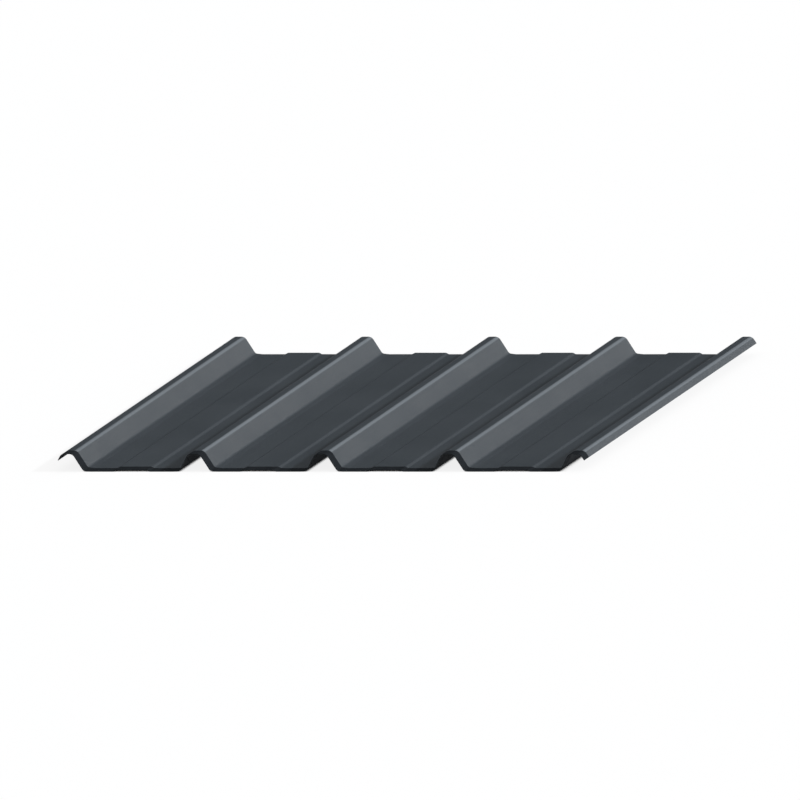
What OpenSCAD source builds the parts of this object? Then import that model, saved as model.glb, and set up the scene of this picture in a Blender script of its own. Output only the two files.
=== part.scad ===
// Trapezoidal roofing sheet: one length of colour-coated steel, rolled to ribs with beaded pans between them.
// Millimetres. X runs across the ribs, Y along them and Z up. The undersides of the pans rest on Z = 0.
// Widths and bend radii are measured at the middle of the metal's thickness.

/* [Sheet] */
// Length of the sheet, along the ribs
sheet_length = 1000; // [500:10:6000]
// Thickness of the coated steel
sheet_thickness = 1; // [0.5:0.1:1.5]

/* [Ribs] */
// Number of ribs across the sheet, with the two at its edges
rib_count = 5; // [2:1:8]
// Spacing of the ribs, centre to centre
rib_pitch = 250; // [220:1:333]
// Height of a rib above the pans
rib_height = 33.5; // [20:0.5:45]
// Width of a rib's crown, between the corner lines of its two bends
crown_width = 22; // [16:0.5:40]
// Width of a rib at its foot, between the corner lines of its two foot bends
rib_base_width = 60; // [50:0.5:80]
// Bend radius at the crown
crown_bend_radius = 11; // [3:0.5:14]
// Bend radius at the foot
foot_bend_radius = 7; // [3:0.5:14]

/* [Foot shoulders] */
// Height of a rib's foot above the pan
shoulder_height = 1.5; // [0.5:0.1:4]
// Width of the shoulder that slopes from a rib's foot down to the pan
shoulder_width = 14; // [6:0.5:16]

/* [Pan bead] */
// Width of the raised bead where it leaves the pan
bead_base_width = 72; // [66:0.5:84]
// Width of the flat on top of the bead
bead_top_width = 61; // [30:0.5:65]
// Height of the bead above the pan
bead_height = 2.8; // [1:0.1:5]
// Bend radius along both sides of the bead, and where a shoulder meets the pan
bead_bend_radius = 4; // [2:0.5:8]

/* [Side laps] */
// How far the free leg of each edge rib comes down from the crown
lap_drop = 12.5; // [10:0.5:18]

/* [Hidden] */

// Most that one flat step of a bend turns, in degrees
bend_step_angle = 8;
// Most of a straight run that the bend at one of its ends may take up
bend_share = 0.48;

last_rib = rib_count - 1;
pan_z = sheet_thickness / 2;
crown_z = pan_z + rib_height;
foot_z = pan_z + shoulder_height;
bead_z = pan_z + bead_height;
// How far a flank moves outwards for each millimetre that it drops
flank_lean = (rib_base_width - crown_width) / 2 / (crown_z - foot_z);
lap_x = rib_x(last_rib) + crown_width / 2 + lap_drop * flank_lean;
lap_z = crown_z - lap_drop;

// The folded line across the sheet: each fold is a corner point and the radius of the bend there
folds = [
    fold(-lap_x, lap_z, 0),
    for (i = [0 : last_rib]) each concat(crown_folds(i), i < last_rib ? pan_folds(i) : []),
    fold(lap_x, lap_z, 0)
];
last_fold = len(folds) - 1;

function fold(x, z, radius) = [[x, z], radius];
function corner(i) = folds[i][0];
function asked_radius(i) = folds[i][1];

// Middle of a rib, and of the pan to its right, counted from the left edge
function rib_x(i) = (i - last_rib / 2) * rib_pitch;
function pan_x(i) = rib_x(i) + rib_pitch / 2;

function crown_folds(i) = [
    for (side = [-1, 1]) fold(rib_x(i) + side * crown_width / 2, crown_z, crown_bend_radius)
];

function pan_folds(i) = [
    fold(rib_x(i) + rib_base_width / 2, foot_z, foot_bend_radius),
    fold(rib_x(i) + rib_base_width / 2 + shoulder_width, pan_z, bead_bend_radius),
    fold(pan_x(i) - bead_base_width / 2, pan_z, bead_bend_radius),
    fold(pan_x(i) - bead_top_width / 2, bead_z, bead_bend_radius),
    fold(pan_x(i) + bead_top_width / 2, bead_z, bead_bend_radius),
    fold(pan_x(i) + bead_base_width / 2, pan_z, bead_bend_radius),
    fold(rib_x(i + 1) - rib_base_width / 2 - shoulder_width, pan_z, bead_bend_radius),
    fold(rib_x(i + 1) - rib_base_width / 2, foot_z, foot_bend_radius)
];

// The straight run that leaves a fold, and the normal on its left
function run_length(i) = norm(corner(i + 1) - corner(i));
function run_way(i) = (corner(i + 1) - corner(i)) / run_length(i);
function left_of(way) = [-way.y, way.x];
function turned(v, angle) = [v.x * cos(angle) - v.y * sin(angle), v.x * sin(angle) + v.y * cos(angle)];

// Angle that the sheet turns through at a fold, positive to the left
function turn(i) = atan2(cross(run_way(i - 1), run_way(i)), run_way(i - 1) * run_way(i));

// Bend radius at a fold, kept within the runs on both sides of it
function bend_radius(i) =
    let (room = bend_share * min(run_length(i - 1), run_length(i)))
    min(asked_radius(i), room / tan(abs(turn(i)) / 2));

// Number of flat steps around the bend at a fold
function bend_steps(i) = ceil(abs(turn(i)) / bend_step_angle);

// Points of the bend at a fold, on the face that lies the given distance left of the middle line
function bend_points(i, distance) =
    let (
        radius = bend_radius(i),
        hand = sign(turn(i)),
        setback = radius * tan(abs(turn(i)) / 2),
        normal = left_of(run_way(i - 1)),
        centre = corner(i) - run_way(i - 1) * setback + normal * hand * radius
    )
    [
        for (k = [0 : bend_steps(i)])
            centre - turned(normal, turn(i) * k / bend_steps(i)) * (hand * radius - distance)
    ];

// One face of the sheet, from its left edge to its right edge
function face_points(distance) = [
    corner(0) + left_of(run_way(0)) * distance,
    for (i = [1 : last_fold - 1]) each bend_points(i, distance),
    corner(last_fold) + left_of(run_way(last_fold - 1)) * distance
];

function reversed(points) = [for (i = [len(points) - 1 : -1 : 0]) points[i]];

// Section of the sheet, in X and Z
module sheet_section() {
    polygon(concat(face_points(sheet_thickness / 2), reversed(face_points(-sheet_thickness / 2))));
}

module profiled_sheet() {
    color("#40454A")
    rotate([90, 0, 0])
    linear_extrude(height = sheet_length, center = true)
    sheet_section();
}

profiled_sheet();
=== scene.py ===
import math

import bpy
from mathutils import Matrix, Vector


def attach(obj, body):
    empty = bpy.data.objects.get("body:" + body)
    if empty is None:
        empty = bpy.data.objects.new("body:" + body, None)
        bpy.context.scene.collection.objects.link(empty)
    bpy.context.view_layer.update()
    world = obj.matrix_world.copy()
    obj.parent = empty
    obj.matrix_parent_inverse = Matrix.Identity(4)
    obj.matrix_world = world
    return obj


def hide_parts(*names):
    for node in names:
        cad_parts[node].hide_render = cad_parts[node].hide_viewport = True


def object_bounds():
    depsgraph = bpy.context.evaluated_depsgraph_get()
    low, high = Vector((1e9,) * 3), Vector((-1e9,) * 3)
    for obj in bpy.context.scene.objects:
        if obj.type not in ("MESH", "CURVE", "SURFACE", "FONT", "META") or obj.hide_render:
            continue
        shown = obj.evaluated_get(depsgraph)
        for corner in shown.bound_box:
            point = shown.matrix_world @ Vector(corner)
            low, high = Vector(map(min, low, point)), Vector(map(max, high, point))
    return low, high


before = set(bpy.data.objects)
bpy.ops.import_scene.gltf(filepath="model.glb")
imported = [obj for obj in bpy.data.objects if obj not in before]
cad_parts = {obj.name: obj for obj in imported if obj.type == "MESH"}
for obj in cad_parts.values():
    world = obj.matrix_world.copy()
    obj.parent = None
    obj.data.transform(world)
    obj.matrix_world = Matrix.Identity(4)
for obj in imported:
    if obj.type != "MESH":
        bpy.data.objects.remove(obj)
cad_low, cad_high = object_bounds()

# Sizes of the sheet in metres. Widths and bend radii are at the middle of the metal's thickness.
SHEET_LENGTH = cad_high.y - cad_low.y
SHEET_THICKNESS = 0.001
RIB_COUNT = 5
RIB_PITCH = 0.250
RIB_HEIGHT = cad_high.z - cad_low.z - SHEET_THICKNESS
CROWN_WIDTH = 0.022
RIB_BASE_WIDTH = 0.060
CROWN_BEND_RADIUS = 0.011
FOOT_BEND_RADIUS = 0.007
SHOULDER_HEIGHT = 0.0015
SHOULDER_WIDTH = 0.014
BEAD_BASE_WIDTH = 0.072
BEAD_TOP_WIDTH = 0.061
BEAD_HEIGHT = 0.0028
BEAD_BEND_RADIUS = 0.004
LAP_DROP = 0.0125

# Rolled steel is never quite flat: how far the pans rise and fall, and about how often in a metre
PAN_SLACK = 0.00025
SWELLS_PER_METRE = 4.5

# Width of the band along the front end that is painted dark as shade, so that the cut edge looks thick and
# shaded
END_SHADE_WIDTH = 0.027

# Steps of the mesh, the gaps across which its seams close, and the angle past which an edge stays sharp
STEPS_ALONG = 48
STEPS_IN_A_BEND = 9
SECTION_SEAM = 1e-5
WALL_SEAM = 1e-6
SHARP_ANGLE = math.radians(40)

# Mesh attribute that is 1 along the middle of the crown bends, where a lighter colour is painted on as a
# highlight
CROWN_HIGHLIGHT = "crown_highlight"
# Tilts of the metal, as shares of the flanks' tilt, over which the painted highlight comes in and goes out
HIGHLIGHT_RISE = (0.03, 0.27)
HIGHLIGHT_FALL = (0.55, 0.85)
# How far the bends on the left of the crowns are lightened, faintly as wear, as a share of the painted
# highlight on the right, which face the light, and the sideways lean of the metal within which the one turns
# into the other
LEFT_HIGHLIGHT_SHARE = 0.15
HIGHLIGHT_TURN = 0.1

# Colours of the finishes as a picture shows them, from 0 to 255, with the darker shade first
COAT_SHADES = ((53, 59, 64), (57, 63, 68))
# A lighter colour painted along the crown bends as a highlight
HIGHLIGHT_COLOUR = (103, 109, 114)
# Dark underside colours, partly painted shade for the hollows under the ribs
BACKING_SHADES = ((38, 42, 45), (46, 49, 53))
# Dark colours painted over the front end as shade
END_SHADE_COLOURS = ((29, 32, 35), (34, 37, 40))
ZINC_SHADES = ((96, 99, 102), (128, 131, 134))

# Least and most roughness of the finishes, and least and most of the painted highlight along a crown
COAT_ROUGHNESS = (0.47, 0.55)
BACKING_ROUGHNESS = (0.8, 0.9)
END_SHADE_ROUGHNESS = (0.7, 0.85)
ZINC_ROUGHNESS = (0.4, 0.55)
HIGHLIGHT_PATCHES = (0.85, 1.0)

# How rolling draws a pattern out along the sheet, and how the painted end shade draws one out
ROLLING_DRAW = (1.0, 0.012, 1.0)
END_SHADE_DRAW = (1.0, 0.15, 1.0)

# Spans of a noise pattern's values that are stretched to a whole range
NARROW_SPAN = (0.35, 0.65)
MIDDLE_SPAN = (0.3, 0.7)
WIDE_SPAN = (0.25, 0.75)

# The photograph is a parallel view. The camera turns right and rises by these angles.
PHOTO_SIZE = 800
VIEW_TURN = math.radians(19.17)
VIEW_RISE = math.radians(12.58)
PIXELS_PER_METRE = 537.4
CAMERA_DISTANCE = 6.0
# Photograph row of the front edge of the pans, and column of the middle crown at the far end
FRONT_EDGE_ROW = 471.75
FAR_CROWN_COLUMN = 492.8

# Directions are towards the light, in the sheet's own frame
SOFTBOX_WAY = (1.0, 0.0, 0.4)
SOFTBOX_STRENGTH = 0.7
FILL_WAY = (-1.0, -0.8, 0.4)
FILL_STRENGTH = 0.55
OVERHEAD_WAY = (0.3, -0.3, 1.0)
OVERHEAD_STRENGTH = 0.2
# Cosines of the angles from a soft light's middle at which it has gone, and at which it is full
SIDE_LIGHT_SPAN = (-0.2, 0.9)
OVERHEAD_SPAN = (0.3, 1.0)
RIM_WAY = (0.33, 0.92, 0.22)
RIM_ENERGY = 0.13
RIM_SPREAD = math.radians(20)
KEY_RISE = math.radians(28.5)
KEY_ENERGY = 2.62
KEY_SPREAD = math.radians(3)
# A trace cooler than the soft light
KEY_TINT = (0.98, 1.0, 1.03)

WHITE = (1.0, 1.0, 1.0, 1.0)
FLOOR_HALF_WIDTH = 30.0
FLOOR_COLOUR = (0.94, 0.94, 0.94, 1.0)
# Share of the floor's white that shows whatever the light
FLOOR_LIFT = 0.85
# Where the sheet comes this close to the floor, that share fades with the floor's openness:
# it has gone at the first value and is whole at the second
CONTACT_REACH = 0.012
CONTACT_SPAN = (0.1, 0.45)
CONTACT_SAMPLES = 8


def srgb(red, green, blue):
    """Linear colour from the 0 to 255 values that a picture shows."""
    def linear(value):
        part = value / 255
        return part / 12.92 if part <= 0.04045 else ((part + 0.055) / 1.055) ** 2.4
    return (linear(red), linear(green), linear(blue), 1.0)


def in_scene(name, data):
    """A new object in the scene that shows the data."""
    thing = bpy.data.objects.new(name, data)
    bpy.context.scene.collection.objects.link(thing)
    return thing


class NodeBench:
    """A node tree with short calls for adding and joining nodes."""

    def __init__(self, tree):
        self.tree = tree

    def add(self, kind, **inputs):
        node = self.tree.nodes.new(kind)
        self.set(node, **inputs)
        return node

    def set(self, node, **inputs):
        for name, value in inputs.items():
            self.plug(value, self.socket(node, name))

    def socket(self, node, name):
        """The node's input of that name; _0, _1 and _2 mean the place of an unnamed one."""
        if name.startswith("_"):
            return node.inputs[int(name[1:])]
        wanted = name.replace("_", " ")
        return next(s for s in node.inputs if s.name == wanted and s.enabled)

    def plug(self, value, socket):
        if isinstance(value, bpy.types.NodeSocket):
            self.tree.links.new(value, socket)
        elif isinstance(value, bpy.types.Node):
            self.tree.links.new(next(s for s in value.outputs if s.enabled), socket)
        else:
            socket.default_value = value

    def math(self, operation, first, second=0.0):
        node = self.tree.nodes.new("ShaderNodeMath")
        node.operation = operation
        self.plug(first, node.inputs[0])
        self.plug(second, node.inputs[1])
        return node.outputs[0]

    def product(self, first, *others):
        for other in others:
            first = self.math("MULTIPLY", first, other)
        return first

    def vector(self, x=0.0, y=0.0, z=0.0):
        return self.add("ShaderNodeCombineXYZ", X=x, Y=y, Z=z).outputs[0]

    def vector_math(self, operation, first, second):
        node = self.tree.nodes.new("ShaderNodeVectorMath")
        node.operation = operation
        self.plug(first, node.inputs[0])
        self.plug(second, node.inputs["Scale"] if operation == "SCALE" else node.inputs[1])
        return next(s for s in node.outputs if s.enabled)

    def split(self, vector):
        return self.add("ShaderNodeSeparateXYZ", Vector=vector).outputs

    def map_range(self, value, low, high, to_low=0.0, to_high=1.0, smooth=False):
        node = self.tree.nodes.new("ShaderNodeMapRange")
        node.interpolation_type = "SMOOTHSTEP" if smooth else "LINEAR"
        for socket, given in zip(node.inputs, (value, low, high, to_low, to_high)):
            self.plug(given, socket)
        return node.outputs[0]

    def noise(self, vector, scale, detail=2.0):
        """A cloudy pattern with about as many patches in a metre as its scale says."""
        return self.add("ShaderNodeTexNoise", Vector=vector, Scale=scale, Detail=detail).outputs[0]

    def blend(self, factor, first, second):
        """The first colour at factor 0 and the second at factor 1."""
        node = self.tree.nodes.new("ShaderNodeMix")
        node.data_type = "RGBA"
        self.set(node, Factor=factor, A=first, B=second)
        return next(s for s in node.outputs if s.enabled)

    def object_place(self):
        """The place on the piece, in metres."""
        return self.add("ShaderNodeTexCoord").outputs["Object"]

    def pick(self, data_type, index, choices):
        """The choice whose place in the list is the index."""
        node = self.tree.nodes.new("GeometryNodeIndexSwitch")
        node.data_type = data_type
        while len(node.index_switch_items) < len(choices):
            node.index_switch_items.new()
        self.plug(index, node.inputs["Index"])
        for k, choice in enumerate(choices):
            self.plug(choice, node.inputs[k + 1])
        return node.outputs[0]


# The rolled sheet

SHEET_INPUTS = {
    "Length": SHEET_LENGTH,
    "Thickness": SHEET_THICKNESS,
    "Rib Pitch": RIB_PITCH,
    "Rib Height": RIB_HEIGHT,
    "Crown Width": CROWN_WIDTH,
    "Rib Base Width": RIB_BASE_WIDTH,
    "Crown Bend Radius": CROWN_BEND_RADIUS,
    "Foot Bend Radius": FOOT_BEND_RADIUS,
    "Shoulder Height": SHOULDER_HEIGHT,
    "Shoulder Width": SHOULDER_WIDTH,
    "Bead Base Width": BEAD_BASE_WIDTH,
    "Bead Top Width": BEAD_TOP_WIDTH,
    "Bead Height": BEAD_HEIGHT,
    "Bead Bend Radius": BEAD_BEND_RADIUS,
    "Lap Drop": LAP_DROP,
    "End Shade": END_SHADE_WIDTH,
    "Pan Slack": PAN_SLACK,
}
SHEET_COUNTS = {
    "Rib Count": RIB_COUNT,
    "Steps Along": STEPS_ALONG,
    "Steps in a Bend": STEPS_IN_A_BEND,
}


class SheetBench(NodeBench):
    """The sheet's Geometry Nodes, with its sizes as named inputs and the places that follow from them.

    Places across the section are measured from the middle of a rib, and heights from the floor.
    """

    def __init__(self):
        super().__init__(bpy.data.node_groups.new("rolled sheet", "GeometryNodeTree"))
        sockets = self.tree.interface
        for name in SHEET_INPUTS:
            sockets.new_socket(name, in_out="INPUT", socket_type="NodeSocketFloat")
        for name in SHEET_COUNTS:
            sockets.new_socket(name, in_out="INPUT", socket_type="NodeSocketInt")
        sockets.new_socket("Sheet", in_out="OUTPUT", socket_type="NodeSocketGeometry")
        self.given = self.tree.nodes.new("NodeGroupInput").outputs
        self.position = self.add("GeometryNodeInputPosition").outputs[0]
        self.normal = self.add("GeometryNodeInputNormal").outputs[0]

        given = self.given
        self.thickness_half = self.half("Thickness")
        self.pan_z = self.thickness_half
        self.crown_z = self.math("ADD", self.pan_z, given["Rib Height"])
        self.foot_z = self.math("ADD", self.pan_z, given["Shoulder Height"])
        self.bead_z = self.math("ADD", self.pan_z, given["Bead Height"])
        self.pan_middle = self.half("Rib Pitch")
        self.crown_edge = self.half("Crown Width")
        self.rib_foot = self.half("Rib Base Width")
        self.shoulder_toe = self.math("ADD", self.rib_foot, given["Shoulder Width"])
        self.bead_foot = self.math("SUBTRACT", self.pan_middle, self.half("Bead Base Width"))
        self.bead_edge = self.math("SUBTRACT", self.pan_middle, self.half("Bead Top Width"))
        self.flank_run = self.math("SUBTRACT", self.rib_foot, self.crown_edge)
        self.flank_drop = self.math("SUBTRACT", self.crown_z, self.foot_z)

        self.pans = self.math("SUBTRACT", given["Rib Count"], 1.0)
        self.last_rib_x = self.product(self.pans, 0.5, given["Rib Pitch"])
        self.first_rib_x = self.math("MULTIPLY", self.last_rib_x, -1.0)
        self.back_y = self.half("Length")
        self.front_y = self.math("MULTIPLY", self.back_y, -1.0)
        self.end_shade_y = self.math("ADD", self.front_y, given["End Shade"])

    def half(self, name):
        return self.math("MULTIPLY", self.given[name], 0.5)


def folded_line(bench, folds):
    """A line through folds, each given by its X, its Z and the radius of its bend."""
    line = bench.add("GeometryNodeMeshLine", Count=len(folds))
    index = bench.add("GeometryNodeInputIndex").outputs[0]
    corner = bench.pick("VECTOR", index, [bench.vector(x, 0.0, z) for x, z, radius in folds])
    bend = bench.pick("FLOAT", index, [radius for x, z, radius in folds])
    bent = bench.add("GeometryNodeSetPosition", Geometry=line, Position=corner)
    curve = bench.add("GeometryNodeMeshToCurve", Mesh=bent)
    fillet = bench.add("GeometryNodeFilletCurve")
    fillet.mode = "POLY"
    bench.set(fillet, Curve=curve, Count=bench.given["Steps in a Bend"], Radius=bend, Limit_Radius=True)
    return bench.add("GeometryNodeSubdivideCurve", Curve=fillet, Cuts=1).outputs[0]


def half_pitch(bench):
    """The section from the middle of a rib to the middle of the pan on its right."""
    bead_bend = bench.given["Bead Bend Radius"]
    return folded_line(bench, [
        (0.0, bench.crown_z, 0.0),
        (bench.crown_edge, bench.crown_z, bench.given["Crown Bend Radius"]),
        (bench.rib_foot, bench.foot_z, bench.given["Foot Bend Radius"]),
        (bench.shoulder_toe, bench.pan_z, bead_bend),
        (bench.bead_foot, bench.pan_z, bead_bend),
        (bench.bead_edge, bench.bead_z, bead_bend),
        (bench.pan_middle, bench.bead_z, 0.0),
    ])


def lap_leg(bench):
    """The section from the middle of the right edge rib to the end of its free leg."""
    drop = bench.given["Lap Drop"]
    lean = bench.math("DIVIDE", bench.flank_run, bench.flank_drop)
    lap_x = bench.math("ADD", bench.crown_edge, bench.math("MULTIPLY", lean, drop))
    lap_z = bench.math("SUBTRACT", bench.crown_z, drop)
    return folded_line(bench, [
        (0.0, bench.crown_z, 0.0),
        (bench.crown_edge, bench.crown_z, bench.given["Crown Bend Radius"]),
        (lap_x, lap_z, 0.0),
    ])


def sheet_section(bench):
    """The section of the whole sheet.

    Half pitches lie to the right of all ribs but the last, mirrored ones to the left of all but the first,
    and a lap leg at each edge.
    """
    pitch = bench.given["Rib Pitch"]
    second_rib_x = bench.math("ADD", bench.first_rib_x, pitch)
    step = bench.vector(pitch)
    right_half = half_pitch(bench)
    right_leg = lap_leg(bench)

    def mirrored(line):
        # Run from its other end, so that the sheet is drawn out the same way from both hands
        return bench.add("GeometryNodeReverseCurve", Curve=line)

    section = bench.tree.nodes.new("GeometryNodeJoinGeometry")
    for line, count, start_x, hand in (
        (right_half, bench.pans, bench.first_rib_x, 1.0),
        (mirrored(right_half), bench.pans, second_rib_x, -1.0),
        (mirrored(right_leg), 1, bench.first_rib_x, -1.0),
        (right_leg, 1, bench.last_rib_x, 1.0),
    ):
        start = bench.vector(start_x)
        row = bench.add("GeometryNodeMeshLine", Count=count, Start_Location=start, Offset=step)
        copies = bench.add("GeometryNodeInstanceOnPoints", Points=row, Instance=line, Scale=(hand, 1.0, 1.0))
        bench.plug(copies, section.inputs[0])
    return bench.add("GeometryNodeRealizeInstances", Geometry=section)


def drawn_out(bench, section):
    """The section drawn out along the sheet, with the front end, where shade is painted dark, as a step of
    its own.
    """
    upright = bench.add("GeometryNodeSetCurveNormal", Curve=section)
    upright.mode = "Z_UP"
    index = bench.add("GeometryNodeInputIndex").outputs[0]
    steps = bench.given["Steps Along"]
    behind = bench.map_range(index, 1.0, bench.math("ADD", steps, 1.0), bench.end_shade_y, bench.back_y)
    along = bench.pick("FLOAT", bench.math("MINIMUM", index, 1.0), [bench.front_y, behind])
    # The X of the line that the section is drawn along comes out along the sheet's negative Y
    line_x = bench.math("MULTIPLY", along, -1.0)
    line = bench.add("GeometryNodeMeshLine", Count=bench.math("ADD", steps, 2.0))
    line = bench.add("GeometryNodeSetPosition", Geometry=line, Position=bench.vector(line_x))
    line = bench.add("GeometryNodeMeshToCurve", Mesh=line)
    skin = bench.add("GeometryNodeCurveToMesh", Curve=upright, Profile_Curve=line)
    skin = bench.add("GeometryNodeMergeByDistance", Geometry=skin, Distance=SECTION_SEAM)
    facing_down = bench.math("LESS_THAN", bench.split(bench.normal)["Z"], 0.0)
    return bench.add("GeometryNodeFlipFaces", Mesh=skin, Selection=facing_down)


def crown_highlights(bench, skin):
    """The skin with the mask of its crown bends where a highlight is painted on, read from the tilt of the
    metal high on the ribs.

    The highlight is painted strong on the bends on the right of the crowns, which face the light, and faint
    on the left, as wear.
    """
    facing = bench.split(bench.normal)
    flank_tilt = bench.math("ARCTAN2", bench.flank_drop, bench.flank_run)
    tilt = bench.math("DIVIDE", bench.math("ARCCOSINE", facing["Z"]), flank_tilt)
    rise = bench.map_range(tilt, *HIGHLIGHT_RISE, smooth=True)
    fall = bench.map_range(tilt, *HIGHLIGHT_FALL, 1.0, 0.0, smooth=True)
    half_height = bench.math("MULTIPLY", bench.crown_z, 0.5)
    high = bench.math("GREATER_THAN", bench.split(bench.position)["Z"], half_height)
    # Painted highlight: whole on the bends that lean right, towards the light, and faint on those that lean
    # left
    side_strength = bench.map_range(facing["X"], -HIGHLIGHT_TURN, HIGHLIGHT_TURN, LEFT_HIGHLIGHT_SHARE, 1.0)
    store = bench.tree.nodes.new("GeometryNodeStoreNamedAttribute")
    store.data_type = "FLOAT"
    store.domain = "POINT"
    bench.set(store, Geometry=skin, Name=CROWN_HIGHLIGHT, Value=bench.product(rise, fall, high, side_strength))
    return store


def slack_pans(bench, skin):
    """The skin with the pans' gentle rise and fall, which fades out towards the ribs."""
    across = bench.math("SUBTRACT", bench.split(bench.position)["X"], bench.first_rib_x)
    from_rib = bench.math("PINGPONG", across, bench.pan_middle)
    fade = bench.map_range(from_rib, bench.shoulder_toe, bench.bead_foot, smooth=True)
    swell = bench.map_range(bench.noise(bench.position, SWELLS_PER_METRE, detail=1.0), *WIDE_SPAN)
    lift = bench.product(swell, fade, bench.given["Pan Slack"])
    return bench.add("GeometryNodeSetPosition", Geometry=skin, Offset=bench.vector(z=lift))


def walled(bench, skin):
    """The sheet with its wall, and the faces of its top and of its cut edges.

    The underside lies half a thickness below the skin, and the top face is drawn up from it.
    """
    down = bench.vector_math("SCALE", bench.normal, bench.math("MULTIPLY", bench.thickness_half, -1.0))
    under = bench.add("GeometryNodeSetPosition", Geometry=skin, Offset=down)
    thickness = bench.given["Thickness"]
    wall = bench.add("GeometryNodeExtrudeMesh", Mesh=under, Offset=bench.normal, Offset_Scale=thickness)
    bench.set(wall, Individual=False)
    whole = bench.tree.nodes.new("GeometryNodeJoinGeometry")
    bench.plug(bench.add("GeometryNodeFlipFaces", Mesh=under), whole.inputs[0])
    bench.plug(wall.outputs["Mesh"], whole.inputs[0])
    whole = bench.add("GeometryNodeMergeByDistance", Geometry=whole, Distance=WALL_SEAM)
    return whole, wall.outputs["Top"], wall.outputs["Side"]


def smoothed(bench, sheet):
    """The sheet shaded smooth, apart from its sharp edges."""
    sheet = bench.add("GeometryNodeSetShadeSmooth", _0=sheet, Shade_Smooth=True)
    angle = bench.add("GeometryNodeInputMeshEdgeAngle").outputs["Unsigned Angle"]
    sheet = bench.add("GeometryNodeSetShadeSmooth", _0=sheet, Shade_Smooth=False)
    sheet.domain = "EDGE"
    bench.set(sheet, Selection=bench.math("GREATER_THAN", angle, SHARP_ANGLE))
    return sheet


def sheet_tree(top_coat, backing, end_shade, cut_edge):
    """Geometry Nodes that fold half a pitch, repeat it across the sheet, draw it out and give it its wall."""
    bench = SheetBench()
    skin = drawn_out(bench, sheet_section(bench))
    skin = slack_pans(bench, crown_highlights(bench, skin))
    sheet, top, cuts = walled(bench, skin)
    sheet = bench.add("GeometryNodeRealizeInstances", Geometry=smoothed(bench, sheet))
    # The backing goes all over, then the coat on top, bare metal on the cut edges, and dark shade painted
    # over the front end
    front = bench.math("LESS_THAN", bench.split(bench.position)["Y"], bench.end_shade_y)
    for finish, faces in ((backing, True), (top_coat, top), (cut_edge, cuts), (end_shade, front)):
        sheet = bench.add("GeometryNodeSetMaterial", Geometry=sheet, Selection=faces, Material=finish)
    bench.plug(sheet, bench.tree.nodes.new("NodeGroupOutput").inputs[0])
    return bench.tree


def roll_sheet(*finishes):
    """The sheet as one plain mesh."""
    tree = sheet_tree(*finishes)
    blank = in_scene("sheet_blank", bpy.data.meshes.new("sheet_blank"))
    rolling = blank.modifiers.new("rolling", "NODES")
    rolling.node_group = tree
    sockets = {item.name: item.identifier for item in tree.interface.items_tree if item.in_out == "INPUT"}
    for name, value in {**SHEET_INPUTS, **SHEET_COUNTS}.items():
        rolling[sockets[name]] = value
    flats = blank.modifiers.new("flats stay flat", "WEIGHTED_NORMAL")
    flats.keep_sharp = True
    bpy.context.view_layer.update()
    evaluated = blank.evaluated_get(bpy.context.evaluated_depsgraph_get())
    mesh = bpy.data.meshes.new_from_object(evaluated)
    bpy.data.objects.remove(blank)
    mesh.name = "rolled_sheet"
    empty_slots = [k for k, finish in enumerate(mesh.materials) if finish is None]
    for k in reversed(empty_slots):
        mesh.materials.pop(index=k)
    return in_scene("rolled_sheet", mesh)


# Finishes

def new_finish(name):
    material = bpy.data.materials.new(name)
    material.use_nodes = True
    bench = NodeBench(material.node_tree)
    shader = material.node_tree.nodes["Principled BSDF"]
    return material, bench, shader


def rolled_streaks(bench, place, scale):
    """Noise drawn out along the sheet, as the rollers leave it."""
    return bench.noise(bench.vector_math("MULTIPLY", place, ROLLING_DRAW), scale)


def fine_bump(bench, place, scale, strength, depth):
    height = bench.noise(place, scale, detail=3.0)
    return bench.add("ShaderNodeBump", Strength=strength, Distance=depth, Height=height).outputs[0]


def shaded(bench, pattern, span, shades):
    """A colour that goes from the darker shade to the lighter as the pattern goes through the span."""
    darker, lighter = shades
    return bench.blend(bench.map_range(pattern, *span), srgb(*darker), srgb(*lighter))


def anthracite_coat():
    """Satin coil coating of the weather side, with a highlight painted along the crown bends."""
    material, bench, shader = new_finish("anthracite coil coat")
    place = bench.object_place()
    cloud = bench.noise(place, scale=7.0, detail=3.0)
    streak = rolled_streaks(bench, place, scale=240.0)
    mean = bench.math("MULTIPLY", bench.math("ADD", cloud, streak), 0.5)
    coat = shaded(bench, mean, NARROW_SPAN, COAT_SHADES)

    # Painted highlight: a lighter colour along the crown bends, in patches along the sheet
    highlight_mask = bench.add("ShaderNodeAttribute")
    highlight_mask.attribute_name = CROWN_HIGHLIGHT
    patchy = bench.map_range(rolled_streaks(bench, place, scale=90.0), *MIDDLE_SPAN, *HIGHLIGHT_PATCHES)
    highlighted = bench.math("MULTIPLY", highlight_mask.outputs["Fac"], patchy)
    coat = bench.blend(highlighted, coat, srgb(*HIGHLIGHT_COLOUR))

    roughness = bench.map_range(cloud, *MIDDLE_SPAN, *COAT_ROUGHNESS)
    peel = fine_bump(bench, place, scale=700.0, strength=0.8, depth=0.0004)
    bench.set(shader, Base_Color=coat, Roughness=roughness, Specular_IOR_Level=0.5, Normal=peel)
    return material


def backing_coat():
    """Thin matt coat on the underside, dark, partly as painted shade for the hollows under the ribs."""
    material, bench, shader = new_finish("dark backing coat")
    place = bench.object_place()
    streak = rolled_streaks(bench, place, scale=160.0)
    coat = shaded(bench, streak, MIDDLE_SPAN, BACKING_SHADES)
    roughness = bench.map_range(bench.noise(place, scale=12.0), *MIDDLE_SPAN, *BACKING_ROUGHNESS)
    grain = fine_bump(bench, place, scale=700.0, strength=0.15, depth=0.0002)
    bench.set(shader, Base_Color=coat, Roughness=roughness, Specular_IOR_Level=0.05, Normal=grain)
    return material


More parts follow.
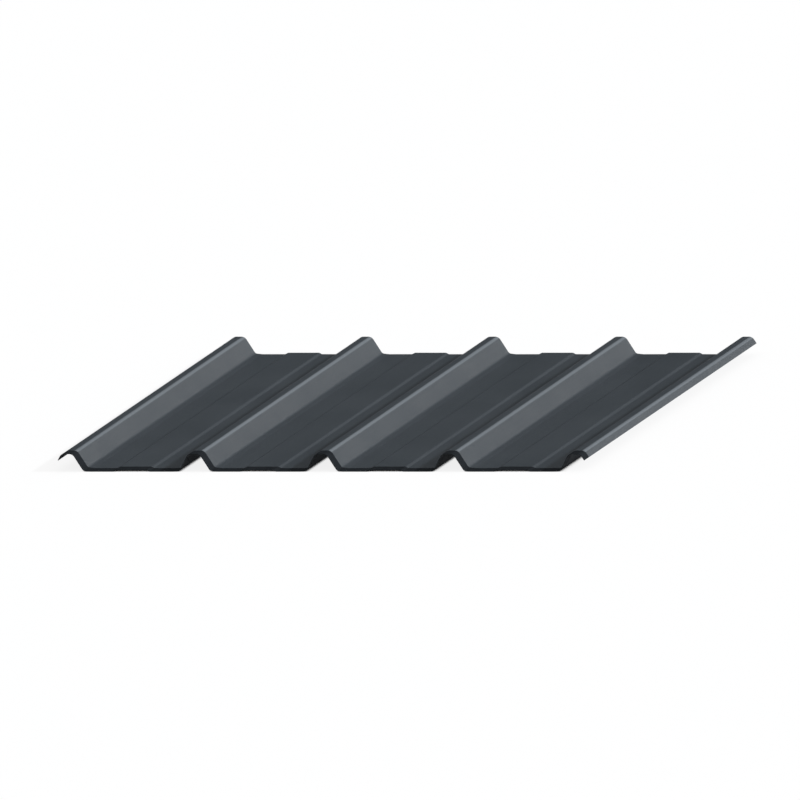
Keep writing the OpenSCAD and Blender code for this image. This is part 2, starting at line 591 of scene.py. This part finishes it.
def painted_end_shade():
    """Dark matt colour painted over the front end and its cut edge as shade, so that the edge looks thick and
    shaded.
    """
    material, bench, shader = new_finish("painted end shade")
    place = bench.object_place()
    end_streaks = bench.noise(bench.vector_math("MULTIPLY", place, END_SHADE_DRAW), scale=120.0)
    end_colour = shaded(bench, end_streaks, MIDDLE_SPAN, END_SHADE_COLOURS)
    roughness = bench.map_range(end_streaks, *MIDDLE_SPAN, *END_SHADE_ROUGHNESS)
    end_bump = bench.add("ShaderNodeBump", Strength=0.2, Distance=0.0003, Height=end_streaks)
    bench.set(shader, Base_Color=end_colour, Roughness=roughness, Specular_IOR_Level=0.02, Normal=end_bump)
    return material


def zinc_edge():
    """Sheared steel under a thin smear of zinc."""
    material, bench, shader = new_finish("sheared zinc edge")
    place = bench.object_place()
    drag = bench.noise(place, scale=600.0, detail=3.0)
    zinc = shaded(bench, drag, NARROW_SPAN, ZINC_SHADES)
    roughness = bench.map_range(drag, *MIDDLE_SPAN, *ZINC_ROUGHNESS)
    bench.set(shader, Base_Color=zinc, Metallic=0.6, Roughness=roughness)
    return material


# Floor, light and camera

def pale_floor():
    """White floor with a light shadow: part of its white shows as it is, and the rest is lit."""
    edge = FLOOR_HALF_WIDTH
    mesh = bpy.data.meshes.new("floor")
    corners = [(-edge, -edge, 0.0), (edge, -edge, 0.0), (edge, edge, 0.0), (-edge, edge, 0.0)]
    mesh.from_pydata(corners, [], [(0, 1, 2, 3)])
    floor = in_scene("floor", mesh)
    material, bench, shader = new_finish("white floor")
    bench.set(shader, Base_Color=FLOOR_COLOUR, Roughness=1.0, Specular_IOR_Level=0.0)
    ray = bench.add("ShaderNodeLightPath").outputs
    seen = bench.math("MAXIMUM", ray["Is Camera Ray"], ray["Is Glossy Ray"])
    seen = bench.math("MAXIMUM", seen, ray["Is Transmission Ray"])
    contact = bench.add("ShaderNodeAmbientOcclusion", Distance=CONTACT_REACH)
    contact.samples = CONTACT_SAMPLES
    open_floor = bench.map_range(contact.outputs["AO"], *CONTACT_SPAN, smooth=True)
    lift = bench.product(seen, open_floor, FLOOR_LIFT)
    white = bench.add("ShaderNodeEmission", Color=WHITE, Strength=1.0)
    lit = bench.add("ShaderNodeMixShader", _0=lift, _1=shader, _2=white)
    bench.plug(lit, material.node_tree.nodes["Material Output"].inputs["Surface"])
    mesh.materials.append(material)


def sun_lamp(name, toward, energy, spread):
    lamp = bpy.data.lights.new(name, "SUN")
    lamp.energy = energy
    lamp.angle = spread
    sun = in_scene(name, lamp)
    sun.rotation_euler = Vector(toward).to_track_quat("Z", "Y").to_euler()
    return sun


def studio_light():
    """Soft light from above and both sides, a key lamp on the right and a weak rim lamp behind."""
    world = bpy.data.worlds.new("studio")
    bpy.context.scene.world = world
    world.use_nodes = True
    bench = NodeBench(world.node_tree)
    way = bench.add("ShaderNodeTexCoord").outputs["Generated"]

    def glow(toward, span, strength):
        aim = bench.vector_math("DOT_PRODUCT", way, Vector(toward).normalized())
        return bench.math("MULTIPLY", bench.map_range(aim, *span, smooth=True), strength)

    softbox = glow(SOFTBOX_WAY, SIDE_LIGHT_SPAN, SOFTBOX_STRENGTH)
    fill = glow(FILL_WAY, SIDE_LIGHT_SPAN, FILL_STRENGTH)
    overhead = glow(OVERHEAD_WAY, OVERHEAD_SPAN, OVERHEAD_STRENGTH)
    sky = bench.math("ADD", bench.math("ADD", softbox, fill), overhead)
    # Under the floor it is white, for the views whose lowest rows start there
    above = bench.math("GREATER_THAN", bench.split(way)["Z"], 0.0)
    light = bench.map_range(above, 0.0, 1.0, 1.0, sky)
    bench.set(world.node_tree.nodes["Background"], Color=WHITE, Strength=light)

    key = sun_lamp("key", (math.cos(KEY_RISE), 0.0, math.sin(KEY_RISE)), KEY_ENERGY, KEY_SPREAD)
    key.data.color = KEY_TINT
    # The key lamp lights the coat and leaves no glare on it, as behind a polarising filter
    key.visible_glossy = False
    sun_lamp("rim", RIM_WAY, RIM_ENERGY, RIM_SPREAD)


def photo_camera():
    """A parallel camera whose picture keeps the front edge level, as the photograph does."""
    turn_sin, turn_cos = math.sin(VIEW_TURN), math.cos(VIEW_TURN)
    rise_sin, rise_cos = math.sin(VIEW_RISE), math.cos(VIEW_RISE)
    right = Vector((turn_cos, turn_sin * rise_cos, -turn_sin * rise_sin))
    up = Vector((0.0, rise_sin, rise_cos))
    back = right.cross(up)
    front_edge = Vector((0.0, cad_low.y, cad_low.z))
    far_crown = Vector((0.0, cad_high.y, cad_high.z))
    middle = PHOTO_SIZE / 2
    across = right.dot(far_crown) - (FAR_CROWN_COLUMN - middle) / PIXELS_PER_METRE
    above = up.dot(front_edge) + (FRONT_EDGE_ROW - middle) / PIXELS_PER_METRE
    lens = bpy.data.cameras.new("photo camera")
    lens.type = "ORTHO"
    lens.ortho_scale = PHOTO_SIZE / PIXELS_PER_METRE
    camera = in_scene("photo camera", lens)
    place = right * across + up * above + back * CAMERA_DISTANCE
    camera.matrix_world = Matrix.Translation(place) @ Matrix((right, up, back)).transposed().to_4x4()
    bpy.context.scene.camera = camera


bpy.context.scene.view_settings.view_transform = "Standard"
sheet = roll_sheet(anthracite_coat(), backing_coat(), painted_end_shade(), zinc_edge())
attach(sheet, "root")
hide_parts("profiled_sheet")
pale_floor()
studio_light()
photo_camera()
